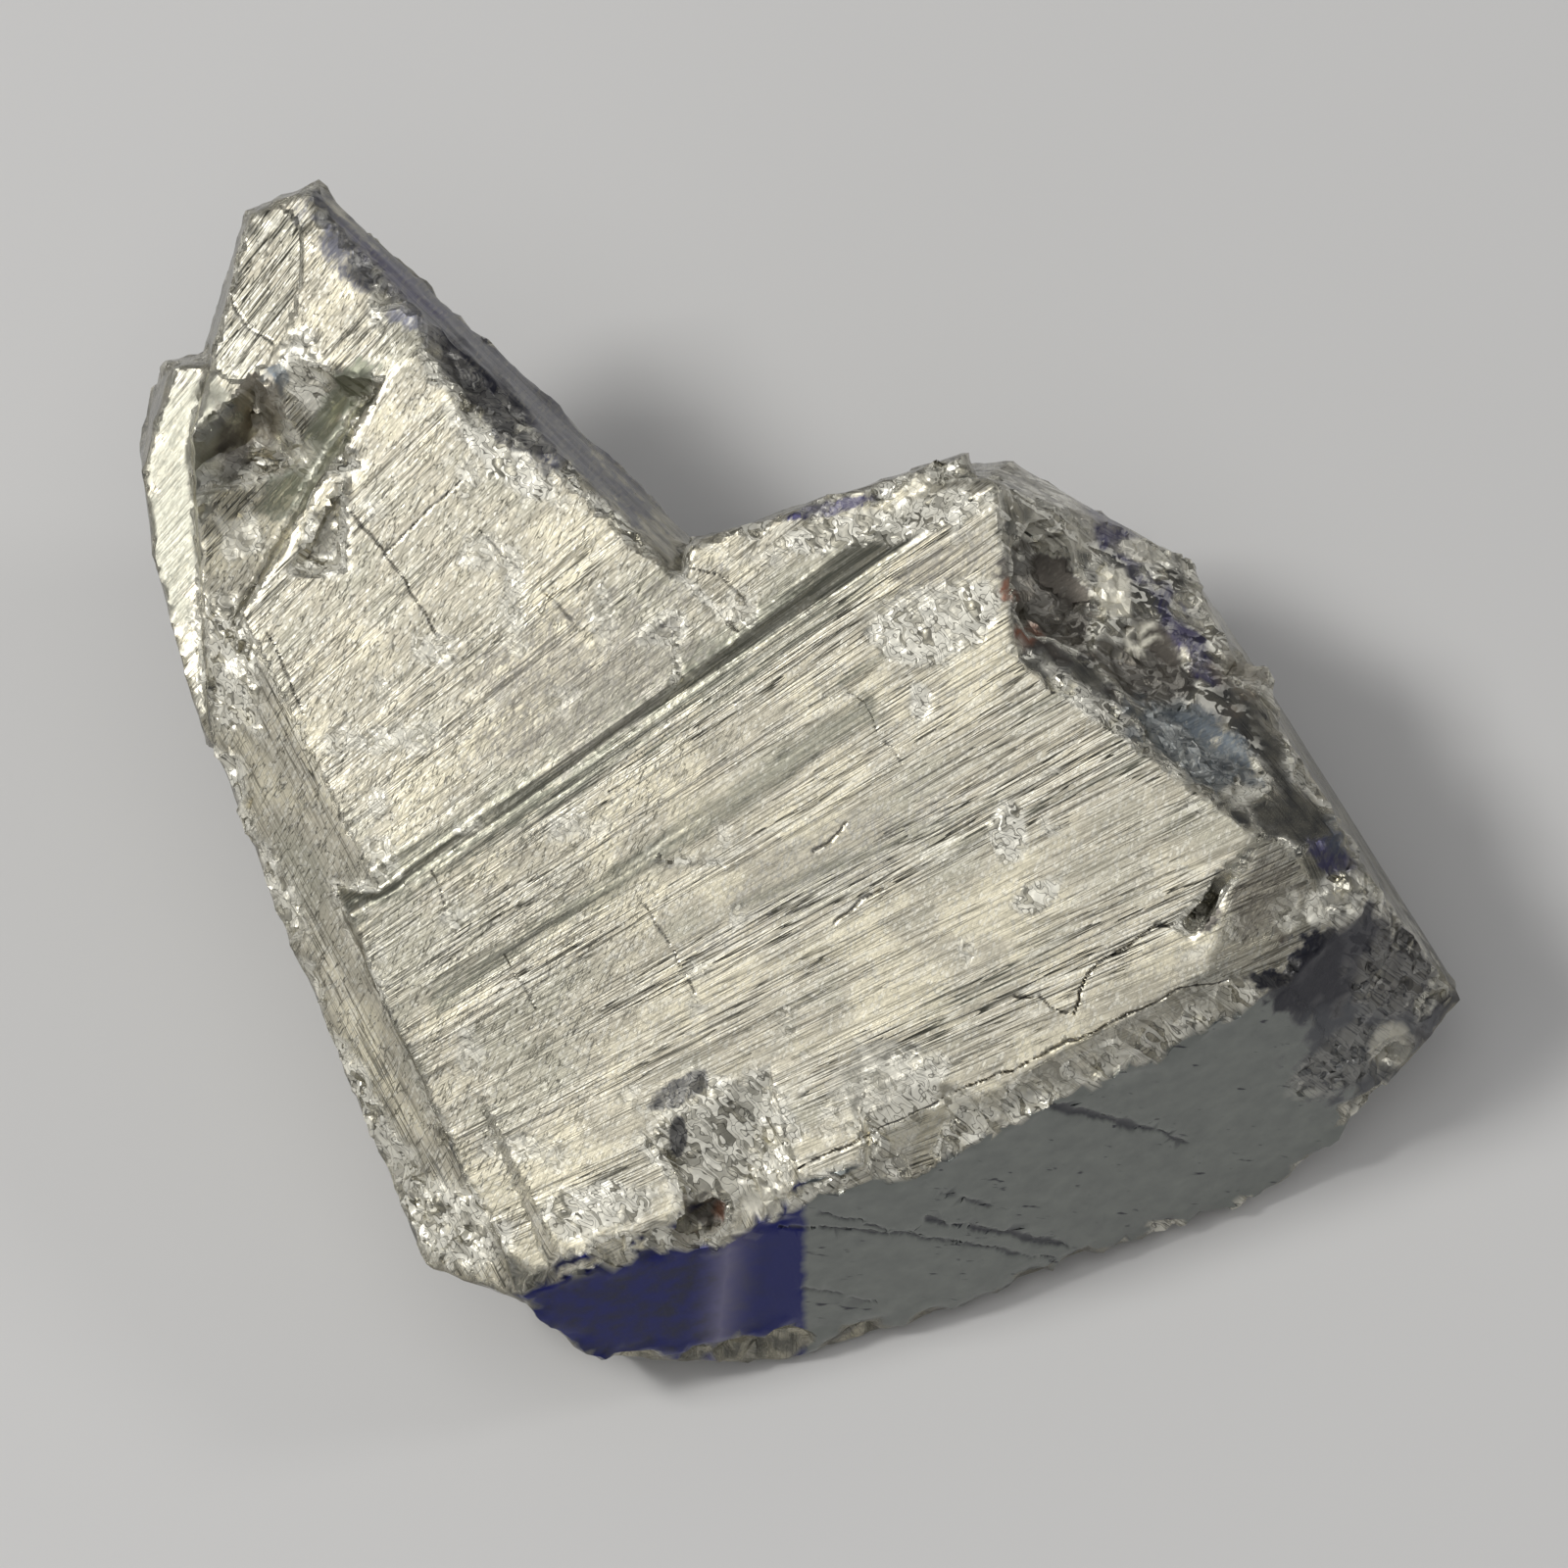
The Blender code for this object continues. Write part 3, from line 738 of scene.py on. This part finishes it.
def remap(value, low, high, to_low=0.0, to_high=1.0):
    """The value moved from one range to another, and held inside it."""
    made = add("MapRange")
    for socket, number in zip(made.inputs[1:5], (low, high, to_low, to_high)):
        socket.default_value = number
    feed(made.inputs["Value"], value)
    return made.outputs["Result"]


def stretched(source, scale, turn_deg=0.0):
    """Coordinates turned about h, then stretched."""
    turned = add("VectorRotate", rotation_type="Z_AXIS")
    turned.inputs["Angle"].default_value = math.radians(turn_deg)
    feed(turned.inputs["Vector"], source)
    made = add("VectorMath", operation="MULTIPLY")
    made.inputs[1].default_value = scale
    feed(made.inputs[0], turned.outputs[0])
    return made.outputs[0]


def noise(source, detail=2.0, roughness=0.5, flat=False):
    """Soft random bumps, one for each unit of the coordinates."""
    made = add("TexNoise", noise_dimensions="2D" if flat else "3D")
    made.inputs["Scale"].default_value = 1.0
    made.inputs["Detail"].default_value = detail
    made.inputs["Roughness"].default_value = roughness
    feed(made.inputs["Vector"], source)
    return made.outputs["Fac"]


def blend(amount, first, second):
    """The first colour where the amount is 0 and the second where it is 1."""
    made = add("Mix", data_type="RGBA")
    feed(made.inputs[0], amount)
    feed(made.inputs[6], first)
    feed(made.inputs[7], second)
    return made.outputs[2]


# Coordinates in millimetres on the great face, as the lists above give them.
on_great_face = add("Mapping")
on_great_face.inputs["Scale"].default_value = (1 / MM,) * 3
on_great_face.inputs["Rotation"].default_value = (-LEAN, 0, 0)
on_great_face.inputs["Location"].default_value = tuple(-turn(GREAT_FACE_MIDDLE[None], -LEAN)[0])
feed(on_great_face.inputs["Vector"], add("TexCoord").outputs["Object"])
face_place = on_great_face.outputs[0]
growth_place = add("Attribute", attribute_name="growth").outputs["Vector"]
face_parts = add("SeparateXYZ")
feed(face_parts.inputs[0], face_place)
bright, dark, bottom, band = mask("bright"), mask("dark"), mask("bottom"), mask("band")
crumbled, hatched, lined, tone = mask("crumbled"), mask("hatched"), mask("lined"), mask("tone")
stains_and_painted_light = add("Attribute", attribute_name="stains_and_painted_light").outputs


def facet_cells(size, source):
    """Little facets, each leaning its own way: their height, a tone for each, and how far its middle is."""
    where = stretched(source, (1 / size, 1 / size, 0.0))
    cells = add("TexVoronoi", voronoi_dimensions="2D")
    cells.inputs["Scale"].default_value = 1.0
    feed(cells.inputs["Vector"], where)
    lean = add("VectorMath", operation="SUBTRACT")
    feed(lean.inputs[0], cells.outputs["Color"])
    lean.inputs[1].default_value = (0.5, 0.5, 0.5)
    away = add("VectorMath", operation="SUBTRACT")
    feed(away.inputs[0], where)
    feed(away.inputs[1], cells.outputs["Position"])
    slope = add("VectorMath", operation="DOT_PRODUCT")
    feed(slope.inputs[0], lean.outputs[0])
    feed(slope.inputs[1], away.outputs[0])
    chances = add("SeparateColor")
    feed(chances.inputs[0], cells.outputs["Color"])
    return times(slope.outputs["Value"], size), chances.outputs[0], cells.outputs["Distance"]


SLANT = (0.5, 0.6, 0.0)  # in radians about x and y
CRUMB_SIZE = 0.40
GRAIN_SIZE = 0.17
CROSS_GRAIN = -62  # the way of the crackle across the growth lines, in degrees
STEPS_PER_BUMP = 7.0  # growth steps in one bump of the long noise
BLUE_END = 1.3  # how far right the painted blue reflection reaches
LINE_RELIEF = 0.010
CRACKLE_RELIEF = 0.016
GRAIN_RELIEF = 0.06
CRUMB_RELIEF = 0.24
STEEP_ROUGHNESS = 0.22
BRIGHT_ROUGHER = 0.16  # the lined faces are rougher by this
PATCH_ROUGHER = 0.12

# Growth steps are the level lines of a long smooth noise: a dark line with a bright one beside it. The
# crackle crosses them, and the scratches run along the bottom.
swell = noise(stretched(growth_place, (0.030, 0.40, 0.0)), 2.0, 0.55, flat=True)
steps = noise(stretched(growth_place, (0.045, 1.5, 0.0)), 3.0, 0.62, flat=True)
step = calculate("FRACT", times(steps, STEPS_PER_BUMP))
hatch = noise(stretched(face_place, (0.5, 2.8, 0.0), CROSS_GRAIN), 2.0, 0.6, flat=True)
scratches = noise(stretched(face_place, (0.10, 2.6, 0.9), 10), 2.0, 0.7)
mottle = noise(stretched(face_place, (0.9, 0.9, 0.9)), 2.0, 0.6)
grain_place = stretched(face_place, (0.7, 1.3, 0.0), CROSS_GRAIN)
grain_height, grain, grain_rim = facet_cells(GRAIN_SIZE, grain_place)

# The crumbs are seen along a slant, so that they don't smear on the sides, and their rows are bent.
slanting = add("Mapping")
slanting.inputs["Rotation"].default_value = SLANT
feed(slanting.inputs["Vector"], face_place)
bend = add("VectorMath", operation="MULTIPLY_ADD")
bending = add("TexNoise", noise_dimensions="2D")
bending.inputs["Scale"].default_value = 2.2
bending.inputs["Detail"].default_value = 0.0
feed(bending.inputs["Vector"], slanting.outputs[0])
feed(bend.inputs[0], bending.outputs["Color"])
bend.inputs[1].default_value = (0.9, 0.9, 0.0)
feed(bend.inputs[2], slanting.outputs[0])
crumb_place = stretched(bend.outputs[0], (1.35, 0.75, 0.0), -20)
crumb_height, crumb_tone, _ = facet_cells(CRUMB_SIZE, crumb_place)
outline = add("TexVoronoi", feature="DISTANCE_TO_EDGE", voronoi_dimensions="2D")
outline.inputs["Scale"].default_value = 1 / CRUMB_SIZE
feed(outline.inputs["Vector"], crumb_place)

CHAMPAGNE = (0.53, 0.49, 0.385)
CREAM = (0.76, 0.70, 0.525)
LINE_SHADOW = (0.055, 0.053, 0.042)
# A darker grey for the growth bands, which over the growth step is also painted shade.
BAND_GREY_AND_SHADE = (0.20, 0.20, 0.157)
# The steep faces are darker than the great faces, as painted reflection of darker surroundings.
GREY_STEEL = (0.25, 0.265, 0.245)
BOTTOM_DARK = (0.155, 0.165, 0.16)
SIDE_DARK = (0.20, 0.195, 0.17)
SIDE_BRASS = (0.40, 0.375, 0.29)
# Black for the bottom's scratches, and painted shade in the cracks and on the dark right end.
SHADE_AND_SCRATCH_BLACK = (0.05, 0.05, 0.06)
# Painted reflection on the left of the bottom: blue-black, deep blue and a violet-grey streak.
BLUE_BLACK = (0.02, 0.022, 0.055)
BLUE_REFLECTION = (0.012, 0.016, 0.125)
VIOLET_GREY = (0.20, 0.19, 0.30)
GLINT = (0.90, 0.87, 0.75)
FLAKE_SHADE = (0.42, 0.395, 0.31)

# The bright faces: brass with growth lines, crackle and specks.
lines_here = plus(remap(swell, 0.40, 0.60, 0.34, 0.95), times(lined, 0.45))
step_line = times(remap(step, 0.38, 0.05), lines_here)
step_glint = times(remap(step, 0.60, 0.40), remap(step, 0.30, 0.40), lines_here)
crackle = remap(calculate("ABSOLUTE", plus(hatch, -0.5)), 0.030, 0.006)
crack_line = times(crackle, remap(hatched, 0.0, 1.0, 0.2, 0.8))
speck = times(remap(grain_rim, 0.45, 0.62), remap(grain, 0.3, 0.9, 0.0, 0.35))
shade = calculate("MAXIMUM", calculate("MAXIMUM", step_line, crack_line), speck)
pale = blend(remap(plus(tone, times(mottle, 0.5), -0.25), 0.0, 0.30, 0.0, 0.9), CHAMPAGNE, CREAM)
pale = blend(remap(tone, -0.02, -0.40, 0.0, 0.5), pale, DULL)
sparkle = calculate("MAXIMUM", times(step_glint, 0.7), remap(grain, 0.75, 0.85, 0.0, 0.5))
pale = blend(sparkle, pale, GLINT)
pale = blend(shade, pale, LINE_SHADOW)

# The steep faces are painted darker than the great faces, a painted reflection of darker surroundings:
# duller brass on the sides, and grey steel with dark scratches on the bottom.
steel = blend(remap(mottle, 0.35, 0.65), SIDE_DARK, SIDE_BRASS)
steel = blend(times(step_line, 0.8), steel, LINE_SHADOW)
bottom_grey = blend(remap(mottle, 0.0, 1.0), BOTTOM_DARK, GREY_STEEL)
bottom_steel = blend(remap(scratches, 0.34, 0.27), bottom_grey, SHADE_AND_SCRATCH_BLACK)
steel = blend(bottom, steel, bottom_steel)
glitter = times(remap(plus(times(crumb_tone, 0.5), mottle), 0.80, 0.82), mask("glitter"))
steel = blend(glitter, steel, GLINT)

# Both together, with the dark bands, the painted shade on the right end, and the stains and painted light
# over them.
colour = blend(bright, steel, pale)
# The bands darken where growth paused. Over the growth step's rounded edge, the darkening is also painted
# shade that hides the light the edge catches.
colour = blend(times(band, remap(step, 0.8, 0.2, 0.6, 1.0)), colour, BAND_GREY_AND_SHADE)
colour = blend(times(dark, 0.9), colour, SHADE_AND_SCRATCH_BLACK)
colour = blend(remap(plus(stains_and_painted_light["Alpha"], times(grain, 0.3)), 0.40, 0.95), colour, stains_and_painted_light["Color"])

# A painted blue reflection covers the left part of the bottom, blacker further left, with a lighter streak
# across it.
to_right = plus(face_parts.outputs["X"], times(mottle, 0.5))
blue_here = remap(to_right, BLUE_END - 0.2, BLUE_END + 0.2, 1.0, 0.0)
streak = remap(calculate("ABSOLUTE", plus(to_right, times(face_parts.outputs["Y"], -0.12), -0.3)), 2.0, 0.0)
blue_reflection = blend(times(remap(mottle, 0.6, 0.3), remap(to_right, 0.5, -3.0)), BLUE_REFLECTION, BLUE_BLACK)
blue_reflection = blend(times(streak, streak, 0.75), blue_reflection, VIOLET_GREY)
colour = blend(times(bottom, blue_here, 0.97), colour, blue_reflection)

# The crumbled patches: flakes from dull to flashing, with thin dark gaps of painted shadow between them.
flash = blend(remap(crumb_tone, 0.0, 0.50), FLAKE_SHADE, GLINT)
flash = blend(times(remap(outline.outputs["Distance"], 0.08, 0.02), 0.9), flash, LINE_SHADOW)
colour = blend(times(crumbled, 0.8), colour, flash)
# The cracks are painted black: painted shade inside them.
colour = blend(times(mask("crack"), 0.85), colour, SHADE_AND_SCRATCH_BLACK)
feed(shader.inputs["Base Color"], colour)

# Flakes and the pale patches, most of them painted highlights, are less metallic: they throw light every
# way.
crumb_light = times(crumbled, remap(crumb_tone, 0.05, 0.40), 0.72)
patch_parts = add("SeparateColor")
feed(patch_parts.inputs[0], stains_and_painted_light["Color"])
pale_patches = times(remap(patch_parts.outputs["Green"], 0.45, 0.65), stains_and_painted_light["Alpha"], 0.6)
scatter = calculate("MAXIMUM", calculate("MAXIMUM", crumb_light, pale_patches), times(glitter, 0.8))
feed(shader.inputs["Metallic"], calculate("SUBTRACT", 1.0, scatter))
rougher = plus(times(bright, BRIGHT_ROUGHER), times(stains_and_painted_light["Alpha"], PATCH_ROUGHER))
feed(shader.inputs["Roughness"], plus(rougher, STEEP_ROUGHNESS))

# The finest relief, too small for the mesh.
relief = plus(times(step, lines_here, LINE_RELIEF), times(hatch, hatched, CRACKLE_RELIEF))
relief = plus(relief, times(grain_height, GRAIN_RELIEF))
relief = times(relief, remap(bottom, 1, 0, 0.25, 1.0))
height = plus(relief, times(crumb_height, crumbled, CRUMB_RELIEF))
bump = add("Bump")
bump.inputs["Distance"].default_value = MM
feed(bump.inputs["Height"], height)
feed(shader.inputs["Normal"], bump.outputs[0])

stone.data.materials.clear()
stone.data.materials.append(skin)
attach(stone, "root")
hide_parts("pyrite_cluster")

# ---- The floor ----------------------------------------------------------------------------------------
# A plain pale sheet of matt paper under the stone. The stone rests on it by its own weight, and it is wide
# enough to fill every view.

FLOOR_WIDTH = 3.0
PALE_GREY = (0.62, 0.61, 0.59, 1.0)
MATT = 0.9

bpy.ops.object.select_all(action="DESELECT")
bpy.ops.mesh.primitive_plane_add(size=FLOOR_WIDTH, location=(0, 0, 0))
floor = bpy.context.object
floor.name = "studio_floor"
paper = bpy.data.materials.new("pale paper")
paper.use_nodes = True
paper.node_tree.nodes["Principled BSDF"].inputs["Base Color"].default_value = PALE_GREY
paper.node_tree.nodes["Principled BSDF"].inputs["Roughness"].default_value = MATT
floor.data.materials.append(paper)

# ---- The lights and the camera ------------------------------------------------------------------------
# Four square soft boxes in a dim grey room: a small strong one at the upper left, a wide one over the
# camera, and a weak one at each side. The camera looks straight at the great face.

VIEW_DISTANCE = 0.45  # in metres
LENS = 202.5  # in millimetres, as the sensor's width is
SENSOR_WIDTH = 36
DIM_GREY = (0.20, 0.205, 0.22, 1.0)
look_at = Vector(GREAT_FACE_MIDDLE) * MM

camera_data = bpy.data.cameras.new("camera")
camera_data.lens = LENS
camera_data.sensor_width = SENSOR_WIDTH
camera = bpy.data.objects.new("camera", camera_data)
camera.location = look_at + Vector(OUTWARD) * VIEW_DISTANCE
camera.rotation_euler = (LEAN, 0, 0)
bpy.context.scene.collection.objects.link(camera)
bpy.context.scene.camera = camera


def softbox(name, direction, distance, width, power):
    """A square lamp that looks at the stone from a direction given on the great face's axes. It is placed
    and sized in metres, and its power is in watts."""
    lamp = bpy.data.lights.new(name, "AREA")
    lamp.size = width
    lamp.energy = power
    holder = bpy.data.objects.new(name, lamp)
    toward = Vector(turn(np.array([direction]), LEAN)[0]).normalized()
    holder.location = look_at + toward * distance
    holder.rotation_euler = toward.to_track_quat("Z", "Y").to_euler()
    bpy.context.scene.collection.objects.link(holder)


softbox("key", (-0.56, 0.28, 0.78), distance=0.8, width=0.16, power=3.2)
softbox("over the camera", (-0.12, 0.18, 0.97), distance=0.9, width=0.8, power=2.0)
softbox("right side", (0.72, 0.42, 0.55), distance=0.8, width=0.14, power=0.5)
softbox("left side", (-0.76, -0.32, 0.56), distance=0.8, width=0.45, power=0.4)

world = bpy.data.worlds.new("room")
world.use_nodes = True
world.node_tree.nodes["Background"].inputs["Color"].default_value = DIM_GREY
bpy.context.scene.world = world
bpy.context.scene.view_settings.view_transform = "Standard"
